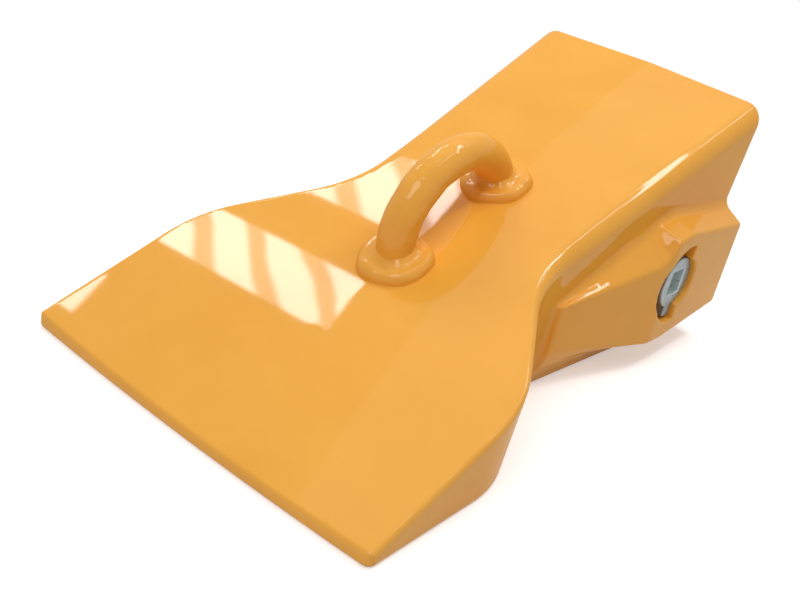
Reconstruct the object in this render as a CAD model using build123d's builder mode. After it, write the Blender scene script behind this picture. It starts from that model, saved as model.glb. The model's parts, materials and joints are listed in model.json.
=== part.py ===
from build123d import *
import math
import os

# Wide tooth tip for a digging bucket, in millimetres.
# X runs across the tooth, +Y points back to the socket mouth and +Z points up.
# The origin is on the flat underside, half way between cutting edge and rear face.

# Overall size of the casting
overall_length = 447.0
rear_height = 190.0
edge_thickness = 7.6
rear_half_width = 100.0
blade_half_width = 140.5
crown_rise = 2.4
least_crown = 0.001
edge_bow = 4.0

# Outline seen from above, as distances in front of the rear face
waist_taper = 0.072
waist_corner = 235.0
shoulder_corner = 323.0
flank_radius = 88.0
section_count = 17

# Roundings of the casting's long edges
shoulder_radius = 14.0
blade_edge_radius = 3.4
underside_radius = 3.0
envelope_overhang = 2.0
envelope_depth = 20.0
radius_change_start = 150.0
radius_change_end = 330.0
cutting_edge_bevel = 2.0
blade_corner_radius = 5.0

# Locking ear on each flank, from the rear face to where it runs out in the waist
ear_half_width = 113.3
ear_front_half_width = 88.4
ear_underside_half_width = 84.0
ear_core_half_width = 78.0
ear_flat_end = 88.0
ear_taper_start = 106.8
ear_corner_end = 117.0
ear_front = 204.0
ear_rear_root = 107.7
ear_rear_crest = 98.0
ear_rear_foot = 34.0
ear_root = 113.5
ear_crest = 102.0
ear_foot = 21.5
ear_front_root = 64.0
ear_front_foot = 31.0
ear_taper_root_fall = 8.0
ear_taper_foot_rise = 2.5
ear_corner_inset = 2.7
ear_corner_root_fall = 12.5
ear_corner_crest_fall = 15.0
ear_corner_foot_rise = 3.0
ear_front_crest_fall = 1.0
ear_underside_fall = 14.0
ear_wall_overlap = 1.5

# Socket for the adapter nose
mouth_half_width = 76.0
mouth_floor = 29.0
mouth_roof = 159.0
nose_flat_start = 150.0
nose_half_width = 62.0
nose_floor = 35.0
nose_roof = 88.0
socket_corner_bevel = 9.0
socket_depth = 195.0

# Lock, its place on the ear and the pieces that make it
lock_setback = 82.4
lock_height = 65.0
lock_face_depth = 3.9
lock_head_radius = 19.8
lock_skirt_radius = 23.5
lock_skirt_end = 74.0
lock_shoulder = 98.0
drive_square = 19.05
drive_depth = 15.0
drive_corner_radius = 1.2
boss_pocket_radius = 15.5
boss_pocket_floor = 90.4
tab_half_width = 4.8
tab_reach = 28.0
tab_thickness = 6.0
head_chamfer = 1.0
running_clearance = 0.4
turning_clearance = 0.35

# Retaining sleeve round the lock
sleeve_wall = 4.4
sleeve_inner_end = 72.2
sleeve_lip = 1.4
sleeve_lip_radius = 20.0
sleeve_fit = 0.15

# Turning recess, side slot for the adapter's boss
recess_clearance = 2.0
recess_end_clearance = 1.6
boss_slot_half_height = 16.0
boss_slot_half_width = 96.0

# Lifting eye and its two weld beads
eye_bar_radius = 13.0
eye_arch_radius = 50.5
eye_setback = 231.6
weld_radius = 27.5
weld_height = 10.5
weld_shoulder_radius = 22.0
weld_shoulder_height = 6.5

rear_y = overall_length / 2
lock_y = rear_y - lock_setback
lock_face = ear_half_width - lock_face_depth
head_bore_radius = lock_head_radius + running_clearance
recess_floor = lock_face - tab_thickness - running_clearance
recess_radius = tab_reach + recess_clearance
skirt_shoulder = lock_shoulder - running_clearance
sleeve_inner_radius = lock_skirt_radius + turning_clearance
sleeve_outer_radius = sleeve_inner_radius + sleeve_wall
cavity_radius = sleeve_outer_radius + sleeve_fit
slope = (rear_height - edge_thickness) / overall_length
slope_angle = math.atan(slope)
bevel_reach = 3 * cutting_edge_bevel
sides = {"right": 1, "left": -1}


def blend(distance, start, end):
    """Share from 0 to 1 of a smooth change between two distances."""
    share = min(max((distance - start) / (end - start), 0.0), 1.0)
    return 0.5 - 0.5 * math.cos(math.pi * share)


# Flank seen from above: waist, shoulder and blade side, rounded where they meet
side_room = blade_half_width + ear_half_width
waist_half_width = rear_half_width - waist_taper * waist_corner
with BuildLine() as flank:
    FilletPolyline(
        (blade_half_width, edge_bow - rear_y),
        (blade_half_width, rear_y - shoulder_corner),
        (waist_half_width, rear_y - waist_corner),
        (rear_half_width, rear_y),
        radius=flank_radius,
    )


def half_width(distance):
    """Half the casting's width at a distance in front of the rear face."""
    across = Line((0, rear_y - distance), (side_room, rear_y - distance))
    meets = [point for edge in flank.edges() for point in edge.find_intersection_points(across)]
    return meets[0].X if meets else blade_half_width


def ridge_height(distance):
    """Height of the top's centre ridge at a distance in front of the rear face."""
    return rear_height - slope * distance


def crown_drop(distance):
    """Fall of the top from its ridge to its sides, fading out towards the cutting edge."""
    return crown_rise * (1 - distance / overall_length) + least_crown


def top_radius(distance):
    """Rounding of the top edge, large on the shoulders and small round the blade."""
    change = blend(distance, radius_change_start, radius_change_end)
    return shoulder_radius + (blade_edge_radius - shoulder_radius) * change


def bowed_edge(setback):
    """Line of the cutting edge, bowed forward at its middle, moved back by a distance."""
    return ThreePointArc(
        (-blade_half_width, edge_bow + setback - rear_y),
        (0, setback - rear_y),
        (blade_half_width, edge_bow + setback - rear_y),
    )


def cross_plane(distance):
    """Plane across the tooth, seen from the front, at a distance from the rear face."""
    return Plane.XZ.offset(distance - rear_y)


def flank_plane(side, half_gap):
    """Plane along one flank, at a distance from the tooth's middle plane."""
    return Plane.YZ.offset(side * half_gap)


# Ear sections: distance, half width, root height, crest height, foot height
ear_sections = [
    (0, ear_half_width, ear_rear_root, ear_rear_crest, ear_rear_foot),
    (ear_flat_end, ear_half_width, ear_root, ear_crest, ear_foot),
    (
        ear_taper_start,
        ear_half_width,
        ear_root - ear_taper_root_fall,
        ear_crest,
        ear_foot + ear_taper_foot_rise,
    ),
    (
        ear_corner_end,
        ear_half_width - ear_corner_inset,
        ear_root - ear_corner_root_fall,
        ear_crest - ear_corner_crest_fall,
        ear_foot + ear_corner_foot_rise,
    ),
    (
        ear_front,
        ear_front_half_width,
        ear_front_root,
        ear_front_root - ear_front_crest_fall,
        ear_front_foot,
    ),
]

# Core that leaves the nose socket: a taper from the mouth, then parallel flats
core_sections = [
    (0, mouth_half_width, mouth_floor, mouth_roof),
    (nose_flat_start, nose_half_width, nose_floor, nose_roof),
    (socket_depth, nose_half_width, nose_floor, nose_roof),
]
with BuildPart() as nose_core:
    for distance, core_width, floor, roof in core_sections:
        with BuildSketch(cross_plane(distance)) as section:
            with Locations((0, (floor + roof) / 2)):
                Rectangle(2 * core_width, roof - floor)
            chamfer(section.vertices(), socket_corner_bevel)
    loft(ruled=True)

# Casting: outline and top envelope, ears, nose socket and lock cavities
with BuildPart() as tip_body:
    with BuildSketch() as outline:
        with BuildLine():
            bowed_edge(0)
            add(flank.line)
            Line((rear_half_width, rear_y), (-rear_half_width, rear_y))
            mirror(flank.line, about=Plane.YZ)
        make_face()
        fillet(outline.vertices().sort_by(Axis.Y)[:2], blade_corner_radius)
    extrude(amount=rear_height)
    underside = tip_body.faces().sort_by(Axis.Z)[0]
    fillet(underside.edges().sort_by(Axis.Y)[:-1], underside_radius)

    # Crowned top whose side rounding shrinks from the shoulders to the blade
    for step in range(section_count):
        station = overall_length * step / (section_count - 1)
        width = half_width(station)
        ridge = ridge_height(station)
        edge = ridge - crown_drop(station)
        foot_width = width + envelope_overhang
        with BuildSketch(cross_plane(station)) as section:
            with BuildLine():
                Polyline(
                    (-foot_width, -envelope_depth),
                    (foot_width, -envelope_depth),
                    (width, edge),
                    (0, ridge),
                    (-width, edge),
                    close=True,
                )
            make_face()
            fillet(section.vertices().group_by(Axis.Y)[-2], top_radius(station))
    loft(mode=Mode.INTERSECT)

    # Bevel on top of the cutting edge, following its bow
    for rise in (0, bevel_reach):
        with BuildSketch(Plane.XY.offset(edge_thickness - cutting_edge_bevel + rise)):
            with BuildLine():
                bowed_edge(rise)
                Polyline(
                    (blade_half_width, edge_bow + rise - rear_y),
                    (blade_half_width, -rear_y - edge_bow),
                    (-blade_half_width, -rear_y - edge_bow),
                    (-blade_half_width, edge_bow + rise - rear_y),
                )
            make_face()
    loft(ruled=True, mode=Mode.SUBTRACT)

    # Ears
    for side in sides.values():
        for distance, ear_width, root, crest, foot in ear_sections:
            root_width = half_width(distance) - ear_wall_overlap
            with BuildSketch(cross_plane(distance)):
                with BuildLine():
                    Polyline(
                        (side * ear_core_half_width, root),
                        (side * root_width, root),
                        (side * ear_width, crest),
                        (side * ear_width, foot),
                        (side * ear_underside_half_width, foot - ear_underside_fall),
                        (side * ear_core_half_width, foot - ear_underside_fall),
                        close=True,
                    )
                make_face()
        loft(ruled=True)

    add(nose_core.part, mode=Mode.SUBTRACT)

    # Lock cavity, head bore, turning recess and side slot in each ear
    for side in sides.values():
        with BuildSketch(flank_plane(side, nose_half_width)):
            with Locations((lock_y, lock_height)):
                Circle(cavity_radius)
        extrude(amount=side * (lock_shoulder - nose_half_width), mode=Mode.SUBTRACT)
        with BuildSketch(flank_plane(side, nose_half_width)):
            with Locations((lock_y + lock_setback / 2, lock_height)):
                Rectangle(lock_setback, 2 * boss_slot_half_height)
        extrude(amount=side * (boss_slot_half_width - nose_half_width), mode=Mode.SUBTRACT)
        with BuildSketch(flank_plane(side, lock_shoulder)):
            with Locations((lock_y, lock_height)):
                Circle(head_bore_radius)
        extrude(amount=side * (ear_half_width - lock_shoulder), mode=Mode.SUBTRACT)
        with BuildSketch(flank_plane(side, recess_floor)):
            with Locations((lock_y, lock_height)):
                Circle(recess_radius)
            rear_wall = tab_half_width + recess_end_clearance
            with Locations((lock_y + rear_wall + recess_radius, lock_height)):
                Rectangle(2 * recess_radius, 2 * recess_radius, mode=Mode.SUBTRACT)
        extrude(amount=side * (ear_half_width - recess_floor), mode=Mode.SUBTRACT)

tip_body.part.label = "tip_body"

# Locks: skirt with the boss pocket, head with the drive socket, stop tab
locks = {}
sleeves = {}
for side_name, side in sides.items():
    with BuildPart() as lock:
        with BuildSketch(flank_plane(side, lock_skirt_end)):
            with Locations((lock_y, lock_height)):
                Circle(lock_skirt_radius)
        extrude(amount=side * (skirt_shoulder - lock_skirt_end))
        with BuildSketch(flank_plane(side, skirt_shoulder)):
            with Locations((lock_y, lock_height)):
                Circle(lock_head_radius)
        extrude(amount=side * (lock_face - skirt_shoulder))
        with BuildSketch(flank_plane(side, lock_face - tab_thickness)):
            with Locations((lock_y, lock_height - tab_reach / 2)):
                Rectangle(2 * tab_half_width, tab_reach)
            with Locations((lock_y, lock_height)):
                Circle(tab_reach, mode=Mode.INTERSECT)
        extrude(amount=side * tab_thickness)
        face_edges = lock.faces().sort_by(Axis.X)[-1 if side > 0 else 0].edges()
        chamfer(face_edges, head_chamfer)
        with BuildSketch(flank_plane(side, lock_face)):
            with Locations((lock_y, lock_height)):
                RectangleRounded(drive_square, drive_square, drive_corner_radius)
        extrude(amount=-side * drive_depth, mode=Mode.SUBTRACT)
        with BuildSketch(flank_plane(side, lock_skirt_end)):
            with Locations((lock_y, lock_height)):
                Circle(boss_pocket_radius)
            with Locations((lock_y + lock_skirt_radius / 2, lock_height)):
                Rectangle(lock_skirt_radius, 2 * boss_pocket_radius)
        extrude(amount=side * (boss_pocket_floor - lock_skirt_end), mode=Mode.SUBTRACT)
    locks[side_name] = lock.part
    lock.part.label = "lock_" + side_name

    # Sleeve: ring open towards the side slot, with a lip at its inner end
    with BuildPart() as sleeve:
        with BuildSketch(flank_plane(side, sleeve_inner_end)):
            with Locations((lock_y, lock_height)):
                Circle(sleeve_outer_radius)
                Circle(sleeve_inner_radius, mode=Mode.SUBTRACT)
        extrude(amount=side * (lock_shoulder - sleeve_inner_end))
        with BuildSketch(flank_plane(side, sleeve_inner_end)):
            with Locations((lock_y, lock_height)):
                Circle(sleeve_outer_radius)
                Circle(sleeve_lip_radius, mode=Mode.SUBTRACT)
        extrude(amount=side * sleeve_lip)
        with BuildSketch(flank_plane(side, sleeve_inner_end)):
            with Locations((lock_y + sleeve_outer_radius / 2, lock_height)):
                Rectangle(sleeve_outer_radius, 2 * boss_slot_half_height)
        extrude(amount=side * (lock_shoulder - sleeve_inner_end), mode=Mode.SUBTRACT)
    sleeves[side_name] = sleeve.part
    sleeve.part.label = "lock_sleeve_" + side_name

# Lifting eye: round bar bent to a half circle that stands square on the sloping top
along = Vector(0, math.cos(slope_angle), math.sin(slope_angle))
outward = Vector(0, -math.sin(slope_angle), math.cos(slope_angle))
eye_centre = Vector(0, rear_y - eye_setback, ridge_height(eye_setback))
front_foot = eye_centre - along * eye_arch_radius
rear_foot = eye_centre + along * eye_arch_radius
with BuildPart() as lifting_eye:
    with BuildSketch(Plane(origin=front_foot, x_dir=(1, 0, 0), z_dir=outward)):
        Circle(eye_bar_radius)
    revolve(axis=Axis(eye_centre, (-1, 0, 0)), revolution_arc=180)
lifting_eye.part.label = "lifting_eye"

# Weld beads: one ring round each foot of the eye
welds = {}
for end_name, foot in {"front": front_foot, "rear": rear_foot}.items():
    with BuildPart() as weld:
        with BuildSketch(Plane(origin=foot, x_dir=(1, 0, 0), z_dir=-along)):
            with BuildLine():
                Polyline(
                    (0, 0),
                    (weld_radius, 0),
                    (weld_shoulder_radius, weld_shoulder_height),
                    (eye_bar_radius, weld_height),
                    (0, weld_height),
                    close=True,
                )
            make_face()
        revolve(axis=Axis(foot, outward))
        add(lifting_eye.part, mode=Mode.SUBTRACT)
    welds[end_name] = weld.part
    weld.part.label = "eye_weld_" + end_name

os.makedirs("parts", exist_ok=True)
pieces = [tip_body.part, lifting_eye.part, *welds.values(), *locks.values(), *sleeves.values()]
for piece in pieces:
    export_step(piece, "parts/" + piece.label + ".step")
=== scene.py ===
import json
import logging
import math
from dataclasses import dataclass
from enum import Enum
from typing import Callable, Sequence

import bmesh
import bpy
import numpy as np
from mathutils import Matrix, Vector


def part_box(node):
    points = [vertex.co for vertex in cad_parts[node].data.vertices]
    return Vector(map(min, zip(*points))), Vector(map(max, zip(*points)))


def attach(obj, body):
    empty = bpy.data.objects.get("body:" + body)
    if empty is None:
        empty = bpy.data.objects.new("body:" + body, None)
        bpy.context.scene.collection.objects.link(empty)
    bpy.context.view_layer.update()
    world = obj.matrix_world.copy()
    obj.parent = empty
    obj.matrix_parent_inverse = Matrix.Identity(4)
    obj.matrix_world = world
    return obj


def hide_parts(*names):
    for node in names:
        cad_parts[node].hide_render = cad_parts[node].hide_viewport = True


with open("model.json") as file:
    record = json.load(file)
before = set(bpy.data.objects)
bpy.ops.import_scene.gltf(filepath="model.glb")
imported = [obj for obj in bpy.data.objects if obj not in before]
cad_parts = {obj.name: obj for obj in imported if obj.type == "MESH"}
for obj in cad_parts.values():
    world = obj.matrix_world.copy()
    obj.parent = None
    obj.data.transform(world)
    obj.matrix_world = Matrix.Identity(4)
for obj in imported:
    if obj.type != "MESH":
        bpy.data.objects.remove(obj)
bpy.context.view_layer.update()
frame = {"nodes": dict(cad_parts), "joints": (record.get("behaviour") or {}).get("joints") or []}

LOG = logging.getLogger("tooth_tip")
METRE = 0.001
TINY = 1e-9
MERGE_DISTANCE = 1e-6
# Name of the point attribute that marks where painted light goes: a lighter colour on the drive hole's
# walls.
PAINTED_LIGHT_ATTRIBUTE = "drive_hole_painted_light"
WHITE = (1.0, 1.0, 1.0, 1.0)
ACROSS = np.array([1.0, 0.0, 0.0])

# Middle part of the range of a noise texture, where nearly all of its values lie.
NOISE_SPAN = (0.3, 0.7)

# Places of the sockets on a Mix node that mixes colours, because its socket names repeat.
MIX_SHARE, MIX_FIRST, MIX_SECOND, MIX_RESULT = 0, 6, 7, 2

Array = np.ndarray
Solid = Callable[[Array, Array, Array], Array]
Colour = tuple[float, float, float]
Span = tuple[float, float]
Place = tuple[float, float, float]
Line = tuple[float, ...]
Socket = bpy.types.NodeSocket
Material = bpy.types.Material
Piece = bpy.types.Object


class Side(Enum):
    """The two flanks of the tooth, with the sign of X on each."""

    RIGHT = 1
    LEFT = -1


class End(Enum):
    """The two feet of the lifting eye, with the sign of the direction along the top."""

    FRONT = -1
    REAR = 1


def rounded_inner(a: Array, b: Array, radius: Array | float) -> Array:
    """Field of what lies in both solids, with a circle of the radius along their edge.

    Args:
        a: Field of the first solid, negative inside.
        b: Field of the second solid.
        radius: Radius of the circle, tangent to both surfaces.

    Returns:
        The field of the intersection.
    """
    corner = np.hypot(np.maximum(a + radius, 0.0), np.maximum(b + radius, 0.0))
    return np.minimum(np.maximum(a, b), -radius) + corner


def rounded_join(a: Array, b: Array, radius: Array | float) -> Array:
    """Field of two solids joined, with a fillet of the given radius between them."""
    return -rounded_inner(-a, -b, radius)


def rounded_cut(a: Array, b: Array, radius: Array | float) -> Array:
    """Field of the first solid less the second, with the cut's edge rounded."""
    return rounded_inner(a, -b, radius)


def slab(values: Array, low: float, high: float) -> Array:
    """Field of the space between two parallel planes."""
    return np.maximum(low - values, values - high)


def smooth_share(values: Array, start: float, end: float) -> Array:
    """Share from 0 to 1, along half a cosine wave, of the way from start to end."""
    share = np.clip((values - start) / (end - start), 0.0, 1.0)
    return 0.5 - 0.5 * np.cos(np.pi * share)


def soft_interp(values: Array, places: Sequence[float], heights: Sequence[float], ease: float) -> Array:
    """Mean of a bent line read at three places, the ease apart, which softens its corners."""
    return sum(np.interp(values + step, places, heights) for step in (-ease, 0.0, ease)) / 3


def graded_lines(stretches: list[tuple[float, float, float]]) -> Array:
    """Grid lines whose spacing changes from one stretch to the next.

    Args:
        stretches: Start, end and wanted spacing of each stretch, end to end.

    Returns:
        The coordinates of the lines, rising.
    """
    parts = []
    for start, end, spacing in stretches:
        count = max(1, round((end - start) / spacing))
        parts.append(np.linspace(start, end, count, endpoint=False))
    parts.append(np.array([stretches[-1][1]]))
    return np.concatenate(parts)


@dataclass(frozen=True)
class SolidSkin:
    """Closed quad mesh on the zero surface of a distance field, in millimetres."""

    solid: Solid
    lines: tuple[Array, Array, Array]
    probe: float = 0.02
    passes: int = 6

    def gradient(self, points: Array) -> Array:
        """Slope of the field: its change from a probe behind to a probe ahead, over that way.

        Args:
            points: Points, one row each.

        Returns:
            The slopes, one row each.
        """
        slopes = np.empty_like(points)
        for axis in range(3):
            step = np.zeros(3)
            step[axis] = self.probe
            ahead = self.solid(*(points + step).T)
            behind = self.solid(*(points - step).T)
            slopes[:, axis] = (ahead - behind) / (2 * self.probe)
        return slopes

    def settle(self, points: Array, reach: float) -> tuple[Array, Array]:
        """Moves the points onto the surface, each pass by the field's value over its slope.

        Args:
            points: Points near the surface, one row each.
            reach: Longest step of one pass.

        Returns:
            The settled points and the outward unit normal at each.
        """
        for _ in range(self.passes):
            slopes = self.gradient(points)
            square = np.maximum((slopes**2).sum(1), TINY)
            step = (self.solid(*points.T) / square)[:, None] * slopes
            length = np.linalg.norm(step, axis=1, keepdims=True)
            points = points - step * np.minimum(1.0, reach / np.maximum(length, TINY))
        slopes = self.gradient(points)
        return points, slopes / np.maximum(np.linalg.norm(slopes, axis=1, keepdims=True), TINY)

    def cell_points(self, values: Array, mixed: Array) -> Array:
        """One point in each mixed cell: the mean of where the surface cuts its edges.

        A cut divides its edge as the two corner values divide their difference.

        Args:
            values: Field at each crossing of the grid lines.
            mixed: True for each cell with corners on both sides of the surface.

        Returns:
            The points, one row for each mixed cell.
        """
        cells = np.argwhere(mixed)
        total = np.zeros((len(cells), 3))
        cuts = np.zeros(len(cells))
        corners = [(i, j, k) for i in (0, 1) for j in (0, 1) for k in (0, 1)]
        for start in corners:
            for axis in range(3):
                if start[axis]:
                    continue
                end = tuple(c + (n == axis) for n, c in enumerate(start))
                low = cells + start
                high = cells + end
                a = values[tuple(low.T)]
                b = values[tuple(high.T)]
                cut = (a < 0) != (b < 0)
                share = np.where(cut, a / np.where(cut, a - b, 1.0), 0.0)[:, None]
                near = np.stack([self.lines[n][low[:, n]] for n in range(3)], axis=1)
                far = np.stack([self.lines[n][high[:, n]] for n in range(3)], axis=1)
                total += np.where(cut[:, None], near + share * (far - near), 0.0)
                cuts += cut
        return total / cuts[:, None]

    def quads(self, inside: Array, names: Array) -> Array:
        """One quad round every grid edge that passes through the surface, facing outwards.

        Args:
            inside: True at each crossing of the grid lines that lies in the solid.
            names: Number of each cell's point.

        Returns:
            The four point numbers of each quad.
        """
        faces = []
        for axis in range(3):
            second, third = (axis + 1) % 3, (axis + 2) % 3
            order = (axis, second, third)
            solid = np.transpose(inside, order)
            cells = np.transpose(names, order)
            leaves = solid[:-1] & ~solid[1:]
            enters = ~solid[:-1] & solid[1:]
            for crossing, outward in ((leaves, True), (enters, False)):
                i, j, k = np.nonzero(crossing[:, 1:-1, 1:-1])
                ring = [cells[i, j, k], cells[i, j + 1, k], cells[i, j + 1, k + 1], cells[i, j, k + 1]]
                faces.append(np.stack(ring if outward else ring[::-1], axis=1))
        return np.concatenate(faces)

    def build(self) -> tuple[Array, Array, Array]:
        """Samples the field on the grid and meshes its surface.

        Returns:
            Points, quads and normals.
        """
        xs, ys, zs = self.lines
        values = np.empty((len(xs), len(ys), len(zs)))
        for row, y in enumerate(ys):
            x, z = np.meshgrid(xs, zs, indexing="ij")
            values[:, row, :] = self.solid(x, np.full_like(x, y), z)
        inside = values < 0
        cells = np.array(values.shape) - 1
        count = np.zeros(cells, np.int8)
        for i, j, k in np.ndindex(2, 2, 2):
            count += inside[i : i + cells[0], j : j + cells[1], k : k + cells[2]]
        mixed = (count > 0) & (count < 8)
        names = np.full(mixed.shape, -1)
        names[mixed] = np.arange(mixed.sum())
        points = self.cell_points(values, mixed)
        reach = min(float(np.diff(line).min()) for line in self.lines)
        points, normals = self.settle(points, reach)
        return points, self.quads(inside, names), normals


def place_mesh(name: str, points: Array, faces: Array, normals: Array | None = None) -> Piece:
    """Makes a smooth-shaded mesh object at the origin from points in millimetres.

    Args:
        name: Name of the piece.
        points: One row for each vertex.
        faces: Vertex numbers, one row of four for each quad.
        normals: Outward normal at each vertex, if it is known exactly.

    Returns:
        The object, linked to the scene.
    """
    mesh = bpy.data.meshes.new(name)
    mesh.vertices.add(len(points))
    mesh.vertices.foreach_set("co", (points * METRE).astype(np.float32).ravel())
    mesh.loops.add(faces.size)
    mesh.loops.foreach_set("vertex_index", faces.astype(np.int32).ravel())
    mesh.polygons.add(len(faces))
    mesh.polygons.foreach_set("loop_start", np.arange(0, faces.size, faces.shape[1], dtype=np.int32))
    mesh.polygons.foreach_set("use_smooth", np.ones(len(faces), bool))
    mesh.update(calc_edges=True)
    mesh.validate()
    if normals is not None:
        mesh.normals_split_custom_set_from_vertices(normals.astype(np.float32))
    piece = bpy.data.objects.new(name, mesh)
    bpy.context.scene.collection.objects.link(piece)
    return piece


def tube_faces(rows: int, columns: int, close_rows: bool) -> Array:
    """Quads of a grid whose columns close on themselves.

    Args:
        rows: Number of rows of points.
        columns: Number of points in a row.
        close_rows: Whether the last row joins the first.

    Returns:
        The four point numbers of each quad.
    """
    row = np.arange(rows if close_rows else rows - 1)[:, None]
    column = np.arange(columns)[None, :]
    here, beside = column, (column + 1) % columns
    above = (row + 1) % rows
    quads = [row * columns + here, row * columns + beside, above * columns + beside, above * columns + here]
    return np.stack(np.broadcast_arrays(*quads), axis=-1).reshape(-1, 4)


class Nodes:
    """Short way to add and join the nodes of one material, lamp or world."""

    def __init__(self, owner: Material | bpy.types.Light | bpy.types.World) -> None:
        """Turns the owner's nodes on.

        Args:
            owner: Material, light or world.
        """
        owner.use_nodes = True
        self.owner = owner
        self.tree = owner.node_tree

    @classmethod
    def of_material(cls, name: str) -> "Nodes":
        """Nodes of a new material, with its shader and output joined."""
        return cls(bpy.data.materials.new(name))

    @property
    def shader(self) -> bpy.types.Node:
        """The material's own shader."""
        return self.tree.nodes["Principled BSDF"]

    def seen_rays(self) -> Socket:
        """Tells the rays that show a background from those that light the object.

        Returns:
            One for rays from the camera and rays that metal and glass pass on, else zero.
        """
        path = self.add("ShaderNodeLightPath")
        total = path.outputs["Is Camera Ray"]
        for kind in ("Is Glossy Ray", "Is Transmission Ray"):
            larger = self.add("ShaderNodeMath", operation="MAXIMUM")
            self.join(total, larger.inputs[0])
            self.join(path.outputs[kind], larger.inputs[1])
            total = larger.outputs[0]
        return total

    def either(self, share: Socket, first: Socket, second: Socket) -> Socket:
        """Mixes two shaders.

        Args:
            share: Share of the second shader.
            first: First shader.
            second: Second shader.

        Returns:
            The mixed shader.
        """
        mix = self.add("ShaderNodeMixShader")
        for place, source in enumerate((share, first, second)):
            self.join(source, mix.inputs[place])
        return mix.outputs[0]

    def add(self, kind: str, **settings: object) -> bpy.types.Node:
        """Adds a node.

        Args:
            kind: Blender's name for the node type.
            settings: Values for its properties, or for its sockets, by name.

        Returns:
            The node.
        """
        node = self.tree.nodes.new(kind)
        for key, value in settings.items():
            if hasattr(node, key):
                setattr(node, key, value)
            else:
                node.inputs[key.replace("_", " ").title()].default_value = value
        return node

    def join(self, source: Socket, target: Socket) -> None:
        """Joins one socket to another."""
        self.tree.links.new(source, target)

    def noise(self, scale: float, detail: float, roughness: float = 0.5) -> Socket:
        """Noise in the piece's own coordinates.

        Args:
            scale: Bumps a metre.
            detail: Number of finer layers.
            roughness: Share that each finer layer keeps.

        Returns:
            The noise, from 0 to 1.
        """
        place = self.add("ShaderNodeTexCoord")
        noise = self.add("ShaderNodeTexNoise", scale=scale, detail=detail, roughness=roughness)
        self.join(place.outputs["Object"], noise.inputs["Vector"])
        return noise.outputs["Fac"]

    def ranged(self, value: Socket, low: float, high: float) -> Socket:
        """Noise turned into a number that runs from low to high over the noise's span."""
        return self.spanned(value, NOISE_SPAN, (low, high))

    def spanned(self, value: Socket, source: Span, target: Span) -> Socket:
        """Number carried from one range to another in a straight line, and held at its ends.

        Args:
            value: The number.
            source: Range that it comes from.
            target: Range that it goes to.

        Returns:
            The number in the new range.
        """
        span = self.add("ShaderNodeMapRange")
        self.join(value, span.inputs["Value"])
        for name, number in zip(("From Min", "From Max", "To Min", "To Max"), (*source, *target)):
            span.inputs[name].default_value = number
        return span.outputs["Result"]

    def mixed(self, value: Socket, dark: Colour, light: Colour) -> Socket:
        """Noise turned into a colour that runs from dark to light."""
        return self.blend(self.ranged(value, 0.0, 1.0), dark, light)

    def blend(self, share: Socket, first: Socket | Colour, second: Colour) -> Socket:
        """Blends two colours.

        Args:
            share: Share of the second colour.
            first: First colour, or the socket that gives it.
            second: Second colour.

        Returns:
            The blended colour.
        """
        mix = self.add("ShaderNodeMix", data_type="RGBA")
        self.join(share, mix.inputs[MIX_SHARE])
        if isinstance(first, tuple):
            mix.inputs[MIX_FIRST].default_value = (*first, 1.0)
        else:
            self.join(first, mix.inputs[MIX_FIRST])
        mix.inputs[MIX_SECOND].default_value = (*second, 1.0)
        return mix.outputs[MIX_RESULT]

    def bump(self, layers: list[tuple[Socket, float]]) -> None:
        """Bump from several heights on the shader's normal.

        Args:
            layers: Height and its depth in metres, for each layer.
        """
        previous = None
        for height, depth in layers:
            bump = self.add("ShaderNodeBump")
            bump.inputs["Strength"].default_value = 1.0
            bump.inputs["Distance"].default_value = depth
            self.join(height, bump.inputs["Height"])
            if previous is not None:
                self.join(previous, bump.inputs["Normal"])
            previous = bump.outputs["Normal"]
        self.join(previous, self.shader.inputs["Normal"])


@dataclass(frozen=True)
class Finish:
    """What every finish has: two close colours in clouds and a cloudy roughness.

    Scales are in bumps a metre and depths in metres. A detail is the number of finer
    layers in a noise.
    """

    dark: Colour
    light: Colour
    cloud_scale: float
    cloud_detail: float
    roughness: Span
    roughness_scale: float
    roughness_detail: float

    def clouds(self, nodes: Nodes) -> Socket:
        """Colour that drifts between the dark and the light one."""
        return nodes.mixed(nodes.noise(self.cloud_scale, self.cloud_detail), self.dark, self.light)

    def lay(self, nodes: Nodes, colour: Socket) -> None:
        """Gives the shader its colour and the cloudy roughness.

        Args:
            nodes: Nodes of the material.
            colour: Its colour.
        """
        nodes.join(colour, nodes.shader.inputs["Base Color"])
        noise = nodes.noise(self.roughness_scale, self.roughness_detail)
        nodes.join(nodes.ranged(noise, *self.roughness), nodes.shader.inputs["Roughness"])


@dataclass(frozen=True)
class CastingPaint(Finish):
    """Glossy yellow enamel, thick enough to soften the sand-cast surface below it."""

    dark: Colour = (0.83, 0.375, 0.045)
    light: Colour = (0.88, 0.410, 0.056)
    cloud_scale: float = 14.0
    cloud_detail: float = 4.0
    roughness: Span = (0.30, 0.40)
    roughness_scale: float = 45.0
    roughness_detail: float = 5.0
    specular: float = 0.0
    coat: float = 0.36
    coat_roughness: float = 0.035
    coat_ior: float = 1.6
    waves: float = 0.00012
    wave_scale: float = 22.0
    wave_detail: float = 2.0
    peel: float = 0.000012
    peel_scale: float = 900.0
    peel_detail: float = 3.0

    def make(self) -> Material:
        """Enamel: two close yellows, a clear coat, long casting waves and fine orange peel.

        Returns:
            The material.
        """
        nodes = Nodes.of_material("casting_paint")
        shader = nodes.shader
        self.lay(nodes, self.clouds(nodes))
        shader.inputs["Specular IOR Level"].default_value = self.specular
        shader.inputs["Coat Weight"].default_value = self.coat
        shader.inputs["Coat Roughness"].default_value = self.coat_roughness
        shader.inputs["Coat IOR"].default_value = self.coat_ior
        waves = nodes.noise(self.wave_scale, self.wave_detail)
        peel = nodes.noise(self.peel_scale, self.peel_detail)
        nodes.bump([(waves, self.waves), (peel, self.peel)])
        return nodes.owner


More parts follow.
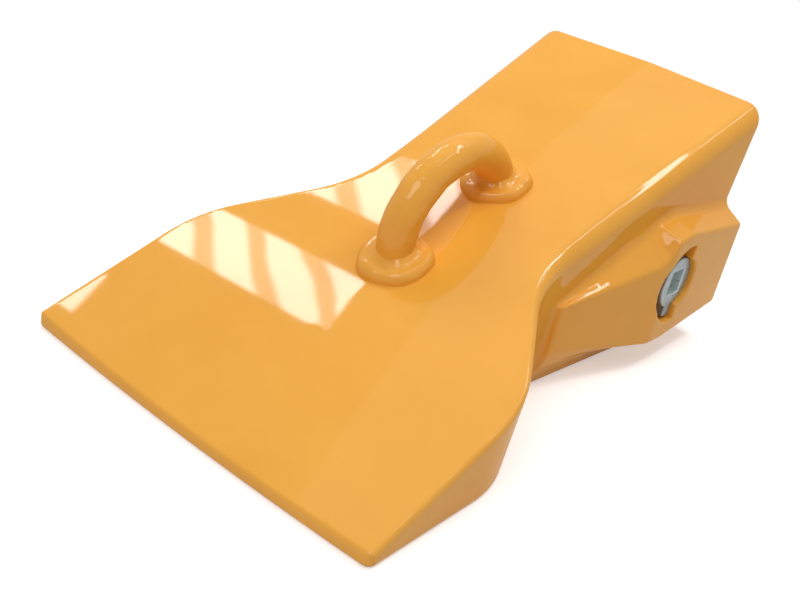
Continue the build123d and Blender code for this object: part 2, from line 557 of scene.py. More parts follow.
@dataclass(frozen=True)
class LockSteel(Finish):
    """Bright zinc plate on forged steel."""

    dark: Colour = (0.24, 0.28, 0.29)
    light: Colour = (0.33, 0.38, 0.39)
    # Lighter colour painted on the drive hole's walls as painted light, where the attribute is 1.
    drive_hole_painted_light: Colour = (0.62, 0.70, 0.69)
    cloud_scale: float = 160.0
    cloud_detail: float = 5.0
    roughness: Span = (0.24, 0.42)
    roughness_scale: float = 420.0
    roughness_detail: float = 4.0
    metallic: float = 0.4
    marks: float = 0.00003
    mark_scale: float = 700.0
    mark_detail: float = 4.0

    def make(self) -> Material:
        """Metal with cloudy plating and fine forging marks, and a lighter colour painted in where the
        attribute is 1: painted light on the drive hole's walls.

        Returns:
            The material.
        """
        nodes = Nodes.of_material("lock_steel")
        plated_colour = self.clouds(nodes)
        # Painted light: where the attribute is 1, the plating gives way to a lighter colour.
        painted_light_mask = nodes.add("ShaderNodeAttribute", attribute_name=PAINTED_LIGHT_ATTRIBUTE)
        self.lay(nodes, nodes.blend(painted_light_mask.outputs["Fac"], plated_colour, self.drive_hole_painted_light))
        nodes.shader.inputs["Metallic"].default_value = self.metallic
        nodes.bump([(nodes.noise(self.mark_scale, self.mark_detail), self.marks)])
        return nodes.owner


@dataclass(frozen=True)
class SleevePolymer(Finish):
    """Matt black moulded polymer."""

    dark: Colour = (0.018, 0.018, 0.020)
    light: Colour = (0.034, 0.034, 0.037)
    cloud_scale: float = 240.0
    cloud_detail: float = 3.0
    roughness: Span = (0.50, 0.66)
    roughness_scale: float = 500.0
    roughness_detail: float = 3.0
    grain: float = 0.00002
    grain_scale: float = 1600.0
    grain_detail: float = 2.0

    def make(self) -> Material:
        """Dark plastic with a fine moulded grain.

        Returns:
            The material.
        """
        nodes = Nodes.of_material("sleeve_polymer")
        self.lay(nodes, self.clouds(nodes))
        nodes.bump([(nodes.noise(self.grain_scale, self.grain_detail), self.grain)])
        return nodes.owner


@dataclass(frozen=True)
class TopSlope:
    """Sloping top of the casting, which the lifting eye stands on."""

    rear_y: float
    rear_height: float
    edge_thickness: float = 7.6

    @property
    def slope(self) -> float:
        """Fall of the top for each millimetre towards the cutting edge."""
        return (self.rear_height - self.edge_thickness) / (2 * self.rear_y)

    def ridge(self, distance: Array | float) -> Array | float:
        """Height of the centre ridge at a distance in front of the rear face."""
        return self.rear_height - self.slope * distance

    def along(self) -> Array:
        """Unit direction up the slope, towards the rear."""
        angle = math.atan(self.slope)
        return np.array([0.0, math.cos(angle), math.sin(angle)])

    def outward(self) -> Array:
        """Unit direction square to the slope, away from the casting."""
        angle = math.atan(self.slope)
        return np.array([0.0, -math.sin(angle), math.cos(angle)])


@dataclass(frozen=True)
class LockSeat:
    """Sizes of one lock's place in the ear, in millimetres; Y and Z are the lock's axis."""

    y: float
    z: float
    face: float
    head_bore: float = 20.2
    cavity: float = 28.4
    shoulder: float = 98.0
    recess: float = 30.0
    recess_floor: float = 103.0
    recess_rear: float = 6.4
    bore_overlap: float = 1.0
    slot_half_height: float = 16.0
    slot_half_width: float = 96.0


@dataclass(frozen=True)
class Casting:
    """The cast body: blade, shoulders, ears, nose socket and lock cavities."""

    top: TopSlope
    seat: LockSeat
    blade_half_width: float
    rear_half_width: float = 100.0
    waist_taper: float = 0.072
    waist_corner: float = 235.0
    shoulder_corner: float = 323.0
    flank_radius: float = 88.0
    flank_draft: float = 0.05
    crown_rise: float = 2.4
    crease_ease: float = 0.6
    edge_bow: float = 4.0
    edge_clearance: float = 0.1
    shoulder_radius: float = 14.0
    blade_radius: float = 3.4
    radius_start: float = 150.0
    radius_end: float = 330.0
    underside_radius: float = 3.0
    cutting_edge_radius: float = 2.4
    rear_edge_radius: float = 2.0
    blade_corner_radius: float = 5.0
    ear_places: Line = (0.0, 88.0, 106.8, 112.0, 119.0, 208.0)
    ear_half_widths: Line = (113.3, 113.3, 113.3, 111.8, 109.9, 88.4)
    ear_roots: Line = (109.0, 113.0, 109.0, 106.5, 103.3, 62.5)
    ear_crests: Line = (99.0, 106.8, 103.9, 91.0, 84.8, 65.5)
    ear_feet: Line = (31.0, 21.5, 22.0, 22.3, 22.8, 30.0)
    ear_underside_half_width: float = 84.0
    ear_core_half_width: float = 78.0
    ear_underside_fall: float = 14.0
    ear_edge_radius: float = 1.8
    ear_fillet: float = 5.0
    ear_ease: float = 0.8
    socket_places: Line = (0.0, 150.0, 195.0)
    socket_half_widths: Line = (76.0, 62.0, 62.0)
    socket_floors: Line = (29.0, 35.0, 35.0)
    socket_roofs: Line = (159.0, 88.0, 88.0)
    socket_corner: float = 9.0
    cut_radius: float = 1.3
    turn_step: float = 0.5
    least_ear: float = 2.0
    grid_margin: float = 3.0
    edge_band: float = 9.0
    edge_spacing: float = 1.0
    seat_reach: float = 33.0
    seat_spacing: float = 1.25
    wall_spacing: float = 2.4
    blade_spacing: float = 3.1

    def half_width(self, distance: Array) -> Array:
        """Half the outline's width at a distance in front of the rear face.

        Three straight lines, the waist, the shoulder and the blade's side, meet at two
        corners, and a circle of the flank radius is tangent to both lines at each.

        Args:
            distance: Distance in front of the rear face.

        Returns:
            Half the width there.
        """
        waist = self.rear_half_width - self.waist_taper * self.waist_corner
        rise = (self.blade_half_width - waist) / (self.shoulder_corner - self.waist_corner)
        first, second = math.atan(-self.waist_taper), math.atan(rise)
        tapered = self.rear_half_width - self.waist_taper * distance
        widened = waist + rise * (distance - self.waist_corner)
        width = np.minimum(np.maximum(tapered, widened), self.blade_half_width)
        corners = (
            (self.waist_corner, waist, first, second, 1.0),
            (self.shoulder_corner, self.blade_half_width, second, 0.0, -1.0),
        )
        for place, height, before, after, bend in corners:
            tangent = self.flank_radius * math.tan(abs(after - before) / 2)
            start = place - tangent * math.cos(before)
            end = place + tangent * math.cos(after)
            centre = start - bend * self.flank_radius * math.sin(before)
            level = height - tangent * math.sin(before) + bend * self.flank_radius * math.cos(before)
            depth = np.sqrt(np.maximum(self.flank_radius**2 - (distance - centre) ** 2, 0.0))
            width = np.where((distance > start) & (distance < end), level - bend * depth, width)
        return width

    def wall_place(self, distance: Array, z: Array) -> Array:
        """Distance of the flank from the middle plane, less by the draft towards the underside."""
        depth = np.maximum(self.top.ridge(distance) - z, 0.0)
        return self.half_width(distance) - self.flank_draft * depth

    def body(self, x: Array, y: Array, z: Array) -> Array:
        """Field of the wedge: crowned top, flanks, underside, cutting edge and rear face.

        The flank's field is the distance along X over the length of a line that rises as
        the outline turns. The crown falls in a straight line from the ridge, and the edge
        goes back with the square of the distance from the middle.

        Args:
            x, y, z: Places across the tooth, along it and above its underside.

        Returns:
            The field, negative inside.
        """
        distance = self.top.rear_y - y
        across = np.abs(x)
        step = self.turn_step
        turn = self.half_width(distance + step) - self.half_width(distance - step)
        wall = (across - self.wall_place(distance, z)) / np.hypot(1.0, turn / (2 * step))
        crown = self.crown_rise / self.rear_half_width * (1 - distance / (2 * self.top.rear_y))
        crease = np.hypot(x, self.crease_ease) - self.crease_ease
        above = (z - self.top.ridge(distance) + crown * crease) / math.hypot(1.0, self.top.slope)
        change = smooth_share(distance, self.radius_start, self.radius_end)
        radius = self.shoulder_radius + (self.blade_radius - self.shoulder_radius) * change
        bow = self.edge_bow * (across / self.blade_half_width) ** 2
        front = bow + self.edge_clearance - self.top.rear_y - y
        outline = rounded_inner(wall, front, self.blade_corner_radius)
        upper = rounded_inner(wall, above, radius)
        upper = rounded_inner(upper, front, self.cutting_edge_radius)
        lower = rounded_inner(outline, -z, self.underside_radius)
        rear = y - self.top.rear_y
        return rounded_inner(np.maximum(np.maximum(upper, lower), outline), rear, self.rear_edge_radius)

    def ears(self, x: Array, y: Array, z: Array) -> Array:
        """Field of the two ears: flat outer face, sloping shoulder facets and underside.

        Width, root, crest and foot change along the ear in straight stretches, and each
        facet is the ruled surface between two of those lines.

        Args:
            x, y, z: Places across the tooth, along it and above its underside.

        Returns:
            The field, negative inside.
        """
        distance = self.top.rear_y - y
        across = np.abs(x)
        lines = (self.ear_half_widths, self.ear_roots, self.ear_crests, self.ear_feet)
        width, root, crest, foot = (
            soft_interp(distance, self.ear_places, line, self.ear_ease) for line in lines
        )
        wall = self.wall_place(distance, root)
        fall = (root - crest) / np.maximum(width - wall, self.least_ear)
        upper = (z - root + fall * np.maximum(across - wall, 0.0)) / np.hypot(1.0, fall)
        rise = self.ear_underside_fall / np.maximum(width - self.ear_underside_half_width, self.least_ear)
        drop = np.minimum(rise * (width - across), self.ear_underside_fall)
        lower = (foot - drop - z) / np.hypot(1.0, rise)
        outer = rounded_inner(across - width, upper, self.ear_edge_radius)
        outer = rounded_inner(outer, lower, self.ear_edge_radius)
        outer = np.maximum(outer, self.ear_core_half_width - across)
        ends = slab(distance, 0.0, self.ear_places[-1])
        return rounded_inner(outer, ends, self.ear_edge_radius)

    def socket(self, x: Array, y: Array, z: Array) -> Array:
        """Field of the nose socket: a taper from the mouth, then parallel flats.

        Args:
            x, y, z: Places across the tooth, along it and above its underside.

        Returns:
            The field, negative inside.
        """
        distance = self.top.rear_y - y
        lines = (self.socket_half_widths, self.socket_floors, self.socket_roofs)
        width, floor, roof = (np.interp(distance, self.socket_places, line) for line in lines)
        sides = rounded_inner(np.abs(x) - width, np.maximum(floor - z, z - roof), self.socket_corner)
        return np.maximum(sides, distance - self.socket_places[-1])

    def lock_room(self, x: Array, y: Array, z: Array) -> Array:
        """Field of the room for a lock in each ear: cavity, side slot, bore and recess.

        Args:
            x, y, z: Places across the tooth, along it and above its underside.

        Returns:
            The field, negative inside.
        """
        seat = self.seat
        across = np.abs(x)
        reach = np.hypot(y - seat.y, z - seat.z)
        inner = self.socket_half_widths[-1]
        cavity = np.maximum(reach - seat.cavity, slab(across, inner, seat.shoulder))
        slot = np.maximum(np.abs(z - seat.z) - seat.slot_half_height, seat.y - y)
        slot = np.maximum(slot, slab(across, inner, seat.slot_half_width))
        bore = np.maximum(reach - seat.head_bore, seat.shoulder - seat.bore_overlap - across)
        recess = np.maximum(reach - seat.recess, y - seat.y - seat.recess_rear)
        recess = np.maximum(recess, seat.recess_floor - across)
        return np.minimum(np.minimum(cavity, slot), np.minimum(bore, recess))

    def solid(self, x: Array, y: Array, z: Array) -> Array:
        """Field of the whole casting, ears filleted into the flanks and cavities cut out.

        Args:
            x, y, z: Places across the tooth, along it and above its underside.

        Returns:
            The field, negative inside.
        """
        shape = rounded_join(self.body(x, y, z), self.ears(x, y, z), self.ear_fillet)
        shape = np.maximum(shape, y - self.top.rear_y)
        shape = rounded_cut(shape, self.socket(x, y, z), self.cut_radius)
        return rounded_cut(shape, self.lock_room(x, y, z), self.cut_radius)

    def grid(self) -> tuple[Array, Array, Array]:
        """Grid lines, close together at the edges and round the locks.

        Returns:
            The lines across, along and up.
        """
        rear, seat, margin = self.top.rear_y, self.seat, self.grid_margin
        # Socket, its walls, the ears with the locks, the blade's corners.
        half = [
            (0.0, 60.0, 5.0),
            (60.0, 90.0, self.wall_spacing),
            (90.0, 116.0, self.seat_spacing),
            (116.0, self.blade_half_width + margin, 2.1),
        ]
        right = graded_lines(half)
        # Cutting edge, blade and shoulders, the locks, the socket's mouth, the rear edge.
        along = [
            (-rear - margin, -rear + self.edge_band, self.edge_spacing),
            (-rear + self.edge_band, seat.y - 34.0, self.blade_spacing),
            (seat.y - 34.0, seat.y + 14.0, self.seat_spacing),
            (seat.y + 14.0, rear - 5.0, 2.8),
            (rear - 5.0, rear + margin, 1.1),
        ]
        low, high = seat.z - self.seat_reach, seat.z + self.seat_reach
        # Underside, ears' underside, the locks, the rear up to the ridge.
        up = [
            (-margin, self.edge_band, self.edge_spacing),
            (self.edge_band, low, self.wall_spacing),
            (low, high, self.seat_spacing),
            (high, self.top.rear_height + margin, self.wall_spacing),
        ]
        return np.concatenate([-right[:0:-1], right]), graded_lines(along), graded_lines(up)

    def build(self, paint: Material) -> Piece:
        """Makes the casting's skin and dresses it.

        Args:
            paint: Its enamel.

        Returns:
            The piece.
        """
        points, faces, normals = SolidSkin(self.solid, self.grid()).build()
        piece = place_mesh("casting_skin", points, faces, normals)
        piece.data.materials.append(paint)
        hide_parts("tip_body")
        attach(piece, "tip")
        return piece


@dataclass(frozen=True)
class Lock:
    """One turning lock: skirt with the boss pocket, head with the drive socket, stop tab."""

    seat: LockSeat
    side: Side
    skirt_end: float = 74.0
    skirt_radius: float = 23.5
    shoulder: float = 97.6
    head_radius: float = 19.8
    square: float = 19.05
    square_corner: float = 1.2
    drive_depth: float = 15.0
    drive_edge_radius: float = 0.9
    pocket_radius: float = 15.5
    pocket_floor: float = 90.4
    tab_half_width: float = 4.8
    tab_reach: float = 28.0
    tab_thickness: float = 6.0
    tab_corner: float = 1.2
    edge_radius: float = 0.9
    pocket_edge_radius: float = 0.6
    overlap: float = 2.0
    grid_margin: float = 2.0
    spacing: float = 0.62

    def drive(self, x: Array, y: Array, z: Array) -> Array:
        """Field of the square hole that the turning tool goes into.

        Args:
            x, y, z: Places across the tooth, along it and above its underside.

        Returns:
            The field, negative inside.
        """
        half = self.square / 2
        back, up = np.abs(y - self.seat.y), np.abs(z - self.seat.z)
        hole = rounded_inner(back - half, up - half, self.square_corner)
        return np.maximum(hole, self.seat.face - self.drive_depth - self.side.value * x)

    def solid(self, x: Array, y: Array, z: Array) -> Array:
        """Field of the lock, built round its axis.

        Skirt and head are round slabs, the tab a narrow slab below the axis that ends on a
        circle, and the drive hole and the boss pocket are cut out.

        Args:
            x, y, z: Places across the tooth, along it and above its underside.

        Returns:
            The field, negative inside.
        """
        seat = self.seat
        out = self.side.value * x
        back, up = y - seat.y, z - seat.z
        reach = np.hypot(back, up)
        length = slab(out, self.skirt_end, self.shoulder)
        skirt = rounded_inner(reach - self.skirt_radius, length, self.edge_radius)
        length = slab(out, self.skirt_end + self.overlap, seat.face)
        head = rounded_inner(reach - self.head_radius, length, self.edge_radius)
        tab = rounded_inner(np.abs(back) - self.tab_half_width, reach - self.tab_reach, self.tab_corner)
        tab = np.maximum(tab, up)
        tab = rounded_inner(tab, slab(out, seat.face - self.tab_thickness, seat.face), self.edge_radius)
        shape = np.minimum(np.minimum(skirt, head), tab)
        shape = rounded_cut(shape, self.drive(x, y, z), self.drive_edge_radius)
        mouth = np.maximum(np.abs(up) - self.pocket_radius, -back)
        pocket = np.maximum(np.minimum(reach - self.pocket_radius, mouth), out - self.pocket_floor)
        return rounded_cut(shape, pocket, self.pocket_edge_radius)

    def build(self, steel: Material) -> Piece:
        """Makes the lock's skin, marks the drive hole for its painted light and dresses it.

        The painted light's share is 1 in the drive hole and falls to 0 across its rounded edge.

        Args:
            steel: Its metal.

        Returns:
            The piece.
        """
        seat, margin = self.seat, self.grid_margin
        side = self.side.name.lower()
        out = graded_lines([(self.skirt_end - margin, seat.face + margin, self.spacing)])
        xs = out if self.side is Side.RIGHT else -out[::-1]
        room = self.skirt_radius + margin
        ys = graded_lines([(seat.y - room, seat.y + room, self.spacing)])
        zs = graded_lines([(seat.z - self.tab_reach - margin, seat.z + room, self.spacing)])
        points, faces, normals = SolidSkin(self.solid, (xs, ys, zs)).build()
        piece = place_mesh("lock_skin_" + side, points, faces, normals)
        # Share of painted light: 1 in the drive hole, 0 past its rounded edge.
        depth = np.clip(1.0 - self.drive(*points.T) / self.drive_edge_radius, 0.0, 1.0)
        painted_light_mask = piece.data.attributes.new(PAINTED_LIGHT_ATTRIBUTE, "FLOAT", "POINT")
        painted_light_mask.data.foreach_set("value", depth.astype(np.float32))
        piece.data.materials.append(steel)
        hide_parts("lock_" + side)
        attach(piece, "lock_" + side)
        return piece


@dataclass(frozen=True)
class LiftingEye:
    """Round bar bent to a half ellipse, with a weld bead round each foot."""

    top: TopSlope
    bar_radius: float = 13.0
    half_span: float = 52.5
    rise: float = 46.0
    setback: float = 232.4
    toe_radius: float = 25.0
    shoulder_radius: float = 19.8
    shoulder_height: float = 6.6
    weld_height: float = 10.8
    lump: float = 0.30
    ripple: float = 0.45
    wave_lengths: tuple[int, ...] = (0, 1, 2, 4)
    wave_spread: float = 2.5
    bar_rounds: int = 5
    swell_rate: float = 5.0
    ripple_turns: int = 3
    ripple_rate: float = 16.0
    bar_rows: int = 141
    bar_columns: int = 64
    cap_shares: Line = (0.0, 0.55, 0.96)
    bead_columns: int = 320
    shoulder_rows: int = 12
    hollow_rows: int = 15
    sunk_shares: Line = (0.2, 0.4, 0.6, 0.8, 1.0)
    toe_rounds: int = 7
    back_rounds: int = 15
    back_rate: float = 3.0
    back_fade: float = 0.6
    bead_bite: float = 0.8
    bead_core: float = 2.0
    bead_root: float = 1.0
    toe_flare: float = 0.4
    toe_swell: float = 1.3
    back_swell: float = 0.12
    toe_lump: float = 0.16
    back_lump: float = 0.26
    seed: int = 7

    def centre(self) -> Array:
        """Middle of the arch, on the casting's ridge."""
        return np.array([0.0, self.top.rear_y - self.setback, self.top.ridge(self.setback)])

    def foot(self, end: End) -> Array:
        """Middle of the bar where one of its feet meets the casting."""
        return self.centre() + end.value * self.half_span * self.top.along()

    def stand(self, origin: Array, along: Array, up: Array, across: Array) -> Array:
        """Points at given distances from an origin on the top.

        Args:
            origin: The origin.
            along: Distances along the top, towards the rear.
            up: Distances square to the top.
            across: Distances across the tooth.

        Returns:
            The points, one row each.
        """
        points = origin + along[..., None] * self.top.along()
        points = points + up[..., None] * self.top.outward() + across[..., None] * ACROSS
        return points.reshape(-1, 3)

    def waves(self, angle: Array, height: Array, rounds: int, random: np.random.Generator) -> Array:
        """Uneven surface as a sum of waves round an angle and along a height.

        A wave's size falls with the square root of its count in a turn. The sum is divided
        by its mean height and a few times the spread of that, so that few places pass 1.

        Args:
            angle: Angle round the piece.
            height: Place along the piece, in radians of the slowest wave.
            rounds: Highest number of waves in one turn.
            random: Seeded source of the sizes and phases.

        Returns:
            Height of the surface.
        """
        total = np.zeros(np.broadcast(angle, height).shape)
        for count in range(1, rounds + 1):
            for length in self.wave_lengths:
                size = random.normal() / math.sqrt(count)
                first, second = random.uniform(0, 2 * np.pi, 2)
                total += size * np.sin(count * angle + first) * np.cos(length * height + second)
        height = np.abs(total)
        return total / (self.wave_spread * height.std() + height.mean())

    def build_bar(self, paint: Material) -> Piece:
        """Carries a slightly uneven circle along the half ellipse of the arch.

        The middle line lies at the half span times the cosine of its angle along the top
        and the rise times the sine above it, square to the circle. Both ends close.

        Args:
            paint: Its enamel.

        Returns:
            The piece.
        """
        random = np.random.default_rng(self.seed)
        turn = np.linspace(0, np.pi, self.bar_rows)[:, None]
        spin = np.linspace(0, 2 * np.pi, self.bar_columns, endpoint=False)[None, :]
        swells = self.waves(spin, self.swell_rate * turn, self.bar_rounds, random)
        ripples = self.waves(self.ripple_turns * spin, self.ripple_rate * turn, self.bar_rounds, random)
        radius = self.bar_radius + self.lump * (swells + self.ripple * ripples - 1.0)
        caps = np.array(self.cap_shares)[:, None]
        turn = np.concatenate([np.zeros_like(caps), turn, np.full_like(caps, np.pi)])
        radius = np.concatenate([radius[:1] * caps, radius, radius[-1:] * caps[::-1]])
        tilt = np.hypot(self.rise * np.cos(turn), self.half_span * np.sin(turn))
        front = self.half_span * np.cos(turn) + radius * np.cos(spin) * self.rise * np.cos(turn) / tilt
        high = self.rise * np.sin(turn) + radius * np.cos(spin) * self.half_span * np.sin(turn) / tilt
        points = self.stand(self.centre(), -front, high, radius * np.sin(spin))
        piece = place_mesh("eye_bar", points, tube_faces(*front.shape, False))
        self.dress(piece, "lifting_eye", paint)
        return piece

    def build_weld(self, end: End, paint: Material) -> Piece:
        """Carries a soft, uneven bead round one foot of the bar.

        The closed profile climbs over a shoulder, a quarter of an ellipse, then up to the
        bar in a hollow curve whose height grows with the square of the way inwards. Waves
        swell the toe and the back, and the whole loop leans over with the bar.

        Args:
            end: Foot that the bead goes round.
            paint: Its enamel.

        Returns:
            The piece.
        """
        random = np.random.default_rng(self.seed + 2 + end.value)
        spin = np.linspace(0, 2 * np.pi, self.bead_columns, endpoint=False)[:, None]
        quarter = np.linspace(0, np.pi / 2, self.shoulder_rows)[None, :]
        inwards = np.linspace(0, 1, self.hollow_rows)[None, 1:]
        reach = [
            self.shoulder_radius + (self.toe_radius - self.shoulder_radius) * np.cos(quarter),
            self.shoulder_radius + (self.bar_radius - self.bead_bite - self.shoulder_radius) * inwards,
        ]
        height = [
            self.shoulder_height * np.sin(quarter),
            self.shoulder_height + (self.weld_height - self.shoulder_height) * inwards**2,
        ]
        reach, height = np.concatenate(reach, axis=1), np.concatenate(height, axis=1)
        place = np.linspace(0, 1, reach.shape[1])
        back = np.sin(np.pi * place) ** self.back_fade
        outline = self.waves(spin, np.zeros((1, 1)), self.toe_rounds, random)
        lumps = self.waves(spin, self.back_rate * place[None, :], self.back_rounds, random)
        share = (reach - self.bar_radius) / (self.toe_radius - self.bar_radius)
        reach = reach + self.toe_swell * outline * share + self.toe_lump * lumps * back
        height = height * (1.0 + self.back_swell * outline) + self.back_lump * lumps * back
        last, root = height[:, -1:], -self.bead_root
        sunk = last + (root - last) * np.array(self.sunk_shares)[None, :]
        inner = np.full_like(sunk, self.bar_radius - self.bead_core)
        toe = np.concatenate([reach[:, :1] + self.toe_flare, reach, inner], axis=1)
        rise = np.concatenate([np.full_like(last, root), height, sunk], axis=1)
        lean = self.half_span * (1 - np.sqrt(1 - (np.maximum(rise, 0) / self.rise) ** 2))
        along = toe * np.cos(spin) - end.value * lean
        points = self.stand(self.foot(end), along, rise, toe * np.sin(spin))
        name = end.name.lower()
        piece = place_mesh("weld_bead_" + name, points, tube_faces(*toe.shape, True))
        self.dress(piece, "eye_weld_" + name, paint)
        return piece

    def dress(self, piece: Piece, node: str, paint: Material) -> None:
        """Turns the faces outwards, paints the piece and lets it stand for its node.

        Args:
            piece: The piece.
            node: Node that it replaces.
            paint: Its enamel.
        """
        face_outwards(piece)
        piece.data.materials.append(paint)
        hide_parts(node)
        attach(piece, "tip")


def face_outwards(piece: Piece) -> None:
    """Merges doubles at the poles and turns every face of a closed mesh outwards.

    Args:
        piece: The piece, whose mesh is changed.
    """
    work = bmesh.new()
    work.from_mesh(piece.data)
    bmesh.ops.remove_doubles(work, verts=work.verts, dist=MERGE_DISTANCE)
    bmesh.ops.recalc_face_normals(work, faces=work.faces)
    for face in work.faces:
        face.smooth = True
    work.to_mesh(piece.data)
    work.free()


@dataclass(frozen=True)
class Lamp:
    """Rectangular soft lamp, with places and sizes in metres and power in watts.

    It faces its aim, or straight down when it has none. Its bars take away the given
    share of the light where they cross it.
    """

    name: str
    place: Place
    size: Span
    power: float
    bars: float = 0.0
    aim: Place | None = None
    bar_angle: float = -38.0
    bar_stretch: Place = (1.0, 0.45, 1.0)
    bar_scale: float = 1.15
    bar_bend: float = 3.0
    bar_span: Span = (0.12, 0.50)
    bar_gain: float = 0.2
    bar_detail: float = 2.0

    def hang(self) -> None:
        """Puts the lamp in its place and turns it."""
        data = bpy.data.lights.new(self.name, "AREA")
        data.shape, data.size, data.size_y, data.energy = "RECTANGLE", *self.size, self.power
        if self.bars:
            self.cross(data)
        lamp = bpy.data.objects.new(self.name, data)
        lamp.location = self.place
        aim = self.aim or (*self.place[:2], 0.0)
        lamp.rotation_euler = (Vector(aim) - Vector(self.place)).to_track_quat("-Z", "Y").to_euler()
        bpy.context.scene.collection.objects.link(lamp)

    def cross(self, data: bpy.types.Light) -> None:
        """Crosses the lamp's face with slanting bars, as in front of a roof light.

        A bent wave darkens the light where it is low, and where it is high the light is a
        little stronger than without bars.

        Args:
            data: The lamp's light.
        """
        nodes = Nodes(data)
        face = nodes.add("ShaderNodeNewGeometry")
        turn = (0.0, 0.0, math.radians(self.bar_angle))
        turned = nodes.add("ShaderNodeMapping", rotation=turn, scale=self.bar_stretch)
        wave = nodes.add("ShaderNodeTexWave", scale=self.bar_scale, distortion=self.bar_bend)
        wave.inputs["Detail"].default_value = self.bar_detail
        nodes.join(face.outputs["Parametric"], turned.inputs["Vector"])
        nodes.join(turned.outputs["Vector"], wave.inputs["Vector"])
        ends = (1.0 - self.bars, 1.0 + self.bar_gain * self.bars)
        light = nodes.spanned(wave.outputs["Fac"], self.bar_span, ends)
        nodes.join(light, nodes.tree.nodes["Emission"].inputs["Strength"])


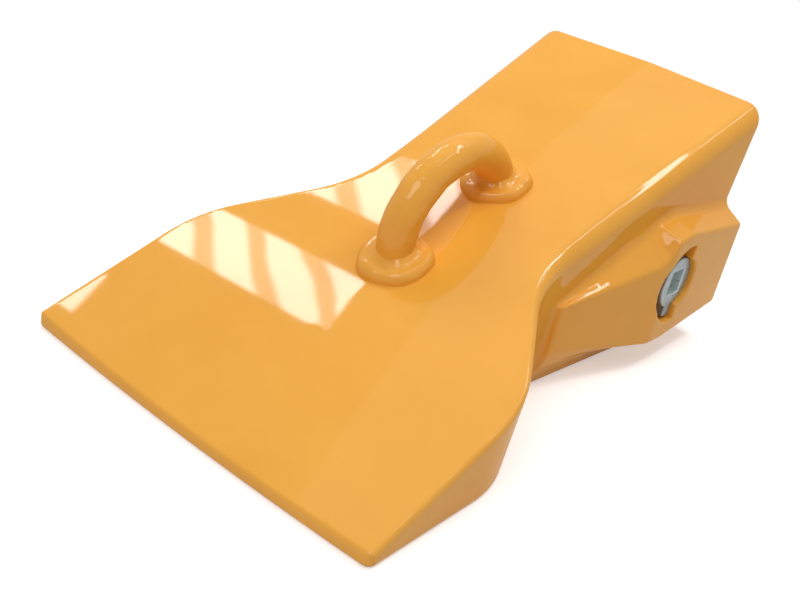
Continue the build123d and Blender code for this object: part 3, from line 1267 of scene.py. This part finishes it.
@dataclass(frozen=True)
class Studio:
    """Camera, floor, lamps and world.

    The top mirrors the near, far and edge roof lights, its rounded right edge the strip
    and the rear one, and the right half of the top the overhead lamp. The front lamp
    lights the blade and is mirrored by the eye only.
    """

    place: Place = (0.3733, -0.5952, 0.3602)
    azimuth: float = 33.94
    elevation: float = 25.47
    roll: float = 13.57
    focal_length: float = 50.18
    sensor: float = 36.0
    clip_start: float = 0.01
    floor_size: float = 12.0
    floor_tone: float = 0.8
    floor_roughness: float = 0.9
    floor_glow: float = 0.42
    fade: Span = (0.35, 0.8)
    world_light: float = 0.30
    lamps: tuple[Lamp, ...] = (
        Lamp("roof_light_near", (-1.075, 0.203, 1.3), (0.56, 0.135), 4.4, bars=0.7),
        Lamp("roof_light_far", (-1.075, 0.485, 1.3), (0.56, 0.17), 5.2, bars=0.7),
        Lamp("roof_light_edge", (-1.46, -0.05, 1.3), (0.20, 0.11), 1.3),
        Lamp("roof_light_strip", (0.42, 0.35, 1.3), (0.03, 1.1), 3.0),
        Lamp("roof_light_rear", (0.30, 0.60, 1.3), (0.60, 0.10), 3.6),
        Lamp("overhead", (-0.18, 0.60, 1.7), (1.36, 1.8), 5.2),
        Lamp("front", (0.15, -0.75, 0.95), (0.5, 0.5), 4.2, aim=(0.0, 0.0, 0.1)),
    )

    def camera(self) -> None:
        """Stands the camera where the photograph was taken from, turned about its axis by the roll."""
        data = bpy.data.cameras.new("camera")
        data.lens, data.sensor_width = self.focal_length, self.sensor
        data.clip_start = self.clip_start
        camera = bpy.data.objects.new("camera", data)
        turn, tilt, roll = (math.radians(v) for v in (self.azimuth, self.elevation, self.roll))
        ahead = Vector((-math.sin(turn) * math.cos(tilt), math.cos(turn) * math.cos(tilt), -math.sin(tilt)))
        right = Vector((math.cos(turn), math.sin(turn), 0.0))
        up = right.cross(ahead)
        rolled_up = up * math.cos(roll) - right * math.sin(roll)
        rolled_right = ahead.cross(rolled_up)
        axes = Matrix((rolled_right, rolled_up, -ahead)).transposed().to_4x4()
        camera.matrix_world = Matrix.Translation(self.place) @ axes
        bpy.context.scene.collection.objects.link(camera)
        bpy.context.scene.camera = camera

    def floor(self) -> None:
        """Pale floor that keeps the object's shadow and fades to plain white away from it.

        Between the two fade distances from the origin the lit floor gives way to white in
        a straight line. Light that goes on to the object sees the unlit floor colour only.
        """
        half = self.floor_size / 2
        corners = np.array([(-half, -half, 0), (half, -half, 0), (half, half, 0), (-half, half, 0)]) / METRE
        floor = place_mesh("floor", corners, np.array([[0, 1, 2, 3]]))
        nodes = Nodes.of_material("floor")
        shader = nodes.shader
        shader.inputs["Base Color"].default_value = (*[self.floor_tone] * 3, 1.0)
        shader.inputs["Roughness"].default_value = self.floor_roughness
        glow = nodes.add("ShaderNodeEmission", strength=self.floor_glow)
        both = nodes.add("ShaderNodeAddShader")
        nodes.join(shader.outputs[0], both.inputs[0])
        nodes.join(glow.outputs[0], both.inputs[1])
        white = nodes.add("ShaderNodeEmission")
        place = nodes.add("ShaderNodeTexCoord")
        far = nodes.add("ShaderNodeVectorMath", operation="LENGTH")
        nodes.join(place.outputs["Object"], far.inputs[0])
        fade = nodes.spanned(far.outputs["Value"], self.fade, (0.0, 1.0))
        paled = nodes.either(fade, both.outputs[0], white.outputs[0])
        shown = nodes.either(nodes.seen_rays(), shader.outputs[0], paled)
        nodes.join(shown, nodes.tree.nodes["Material Output"].inputs["Surface"])
        floor.data.materials.append(nodes.owner)

    def world(self) -> None:
        """White to the camera, and a plain pale light on everything else."""
        world = bpy.data.worlds.new("studio")
        bpy.context.scene.world = world
        nodes = Nodes(world)
        light = nodes.tree.nodes["Background"]
        white = nodes.add("ShaderNodeBackground")
        for background, strength in ((light, self.world_light), (white, 1.0)):
            background.inputs["Color"].default_value = WHITE
            background.inputs["Strength"].default_value = strength
        shown = nodes.either(nodes.seen_rays(), light.outputs[0], white.outputs[0])
        nodes.join(shown, nodes.tree.nodes["World Output"].inputs["Surface"])

    def build(self) -> None:
        """Sets up the whole studio."""
        self.camera()
        self.floor()
        self.world()
        for lamp in self.lamps:
            lamp.hang()
        bpy.context.scene.view_settings.view_transform = "Standard"


def report(piece: Piece) -> None:
    """Logs a finished piece and how many faces it has."""
    LOG.info("%s: %d faces", piece.name, len(piece.data.polygons))


def main() -> None:
    """Builds the studio and every piece in order, and reports each."""
    logging.basicConfig(level=logging.INFO, format="%(message)s")
    Studio().build()
    high = np.array(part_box("tip_body")[1]) / METRE
    lock_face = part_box("lock_right")[1][0] / METRE
    joint = next(j for j in frame["joints"] if j["child"] == "lock_right")
    lock_y, lock_z = (value / METRE for value in joint["pos_m"][1:])
    top = TopSlope(rear_y=high[1], rear_height=high[2])
    seat = LockSeat(y=lock_y, z=lock_z, face=lock_face)
    paint, steel, polymer = CastingPaint().make(), LockSteel().make(), SleevePolymer().make()
    report(Casting(top, seat, blade_half_width=high[0]).build(paint))
    for side in Side:
        report(Lock(seat, side).build(steel))
        sleeve = frame["nodes"]["lock_sleeve_" + side.name.lower()]
        sleeve.data.materials.clear()
        sleeve.data.materials.append(polymer)
        report(sleeve)
    eye = LiftingEye(top)
    report(eye.build_bar(paint))
    for end in End:
        report(eye.build_weld(end, paint))


if __name__ == "__main__":
    main()
